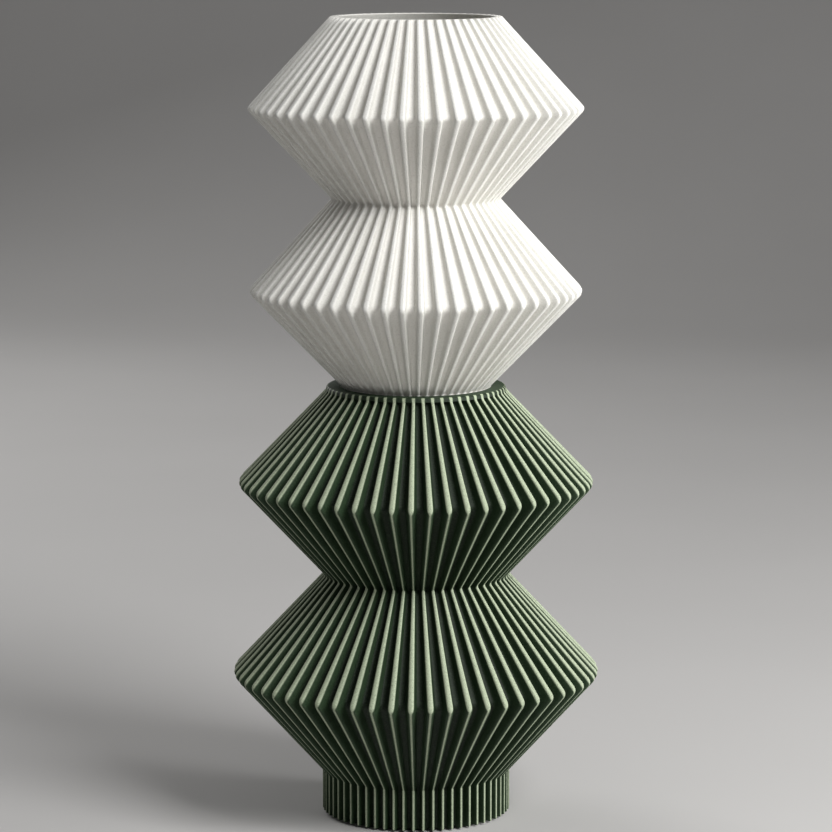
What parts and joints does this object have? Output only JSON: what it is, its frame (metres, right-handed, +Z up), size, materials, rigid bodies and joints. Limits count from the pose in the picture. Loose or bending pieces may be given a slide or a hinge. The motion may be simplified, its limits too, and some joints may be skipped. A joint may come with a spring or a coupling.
{
  "type": "table lamp",
  "caption": "Ribbed table lamp: a stacked-diamond base with a matching open-topped shade that lifts off its seat over a screw-in bulb.",
  "frame": {"origin": "centre of the footprint, on the surface that the lamp stands on", "axes": "+Z up along the axis of the lamp; the front faces -Y; the inlet and the switch are at the back, towards +Y"},
  "size_m": [0.2064, 0.2064, 0.45],
  "materials": {
    "base_green": "printed, matt, fine layer lines",
    "shade_white": "printed, matt, translucent white",
    "deck_steel": "powder coated",
    "screw_steel": "zinc plated",
    "insert_brass": "knurled",
    "nipple_zinc": "zinc plated",
    "holder_white": "smooth moulded",
    "holder_ceramic": "unglazed",
    "thread_aluminium": "rolled thread",
    "contact_brass": "pressed strip",
    "cover_black": "printed, matt",
    "foot_rubber": "matt",
    "ballast_iron": "painted steel",
    "inlet_black": "fine moulded",
    "pin_brass": "nickelled",
    "rocker_black": "satin",
    "wire_blue": "insulation",
    "wire_brown": "insulation",
    "bulb_opal": "opal",
    "bulb_white": "satin",
    "bulb_black": "moulded",
    "led_yellow": "phosphor",
    "driver_green": "circuit board"
  },
  "bodies": {
    "base": {"base_shell": "base_green", "deck_plate": "deck_steel", "deck_screws": "screw_steel", "deck_inserts": "insert_brass", "nipple": "nipple_zinc", "nipple_washer": "nipple_zinc", "nipple_nut": "nipple_zinc", "lampholder_cap": "holder_white", "lampholder_core": "holder_ceramic", "lampholder_skirt": "holder_white", "thread_sleeve": "thread_aluminium", "centre_contact": "contact_brass", "side_contact": "contact_brass", "bottom_cover": "cover_black", "cover_screws": "screw_steel", "cover_inserts": "insert_brass", "rubber_feet": "foot_rubber", "ballast_disc": "ballast_iron", "ballast_screws": "screw_steel", "inlet_body": "inlet_black", "inlet_pins": "pin_brass", "switch_body": "inlet_black", "switch_terminals": "pin_brass", "wire_receptacles": "pin_brass", "wire_neutral": "wire_blue", "wire_switched_live": "wire_brown", "wire_live_link": "wire_brown"},
    "shade": {"shade_lower_tier": "shade_white", "shade_upper_tier": "shade_white"},
    "bulb_rise_carrier": {"bulb_tip_contact": "contact_brass"},
    "bulb": {"bulb_dome": "bulb_opal", "bulb_housing": "bulb_white", "bulb_screw_shell": "thread_aluminium", "bulb_insulator": "bulb_black", "bulb_led_plate": "thread_aluminium", "bulb_leds": "led_yellow", "bulb_driver": "driver_green"},
    "rocker": {"switch_rocker": "rocker_black"}
  },
  "joints": [
    {"name": "shade_lift", "type": "slide", "parent": "base", "child": "shade", "axis": [0, 0, 1], "range_m": [0, 0.14]},
    {"name": "bulb_rise", "type": "slide", "parent": "base", "child": "bulb_rise_carrier", "axis": [0, 0, 1], "range_m": [0, 0.02]},
    {"name": "bulb_turn", "type": "hinge", "parent": "bulb_rise_carrier", "child": "bulb", "pos_m": [0, 0, 0.278], "axis": [0, 0, 1], "range_deg": [0, 1980]},
    {"name": "rocker_tilt", "type": "hinge", "parent": "base", "child": "rocker", "pos_m": [0.0126, 0.0466, 0.0134], "axis": [0, 0, 1], "range_deg": [0, 20]}
  ],
  "couplings": [
    {"joint": "bulb_rise", "follows": "bulb_turn", "m_per_rad": 0.00057773}
  ]
}
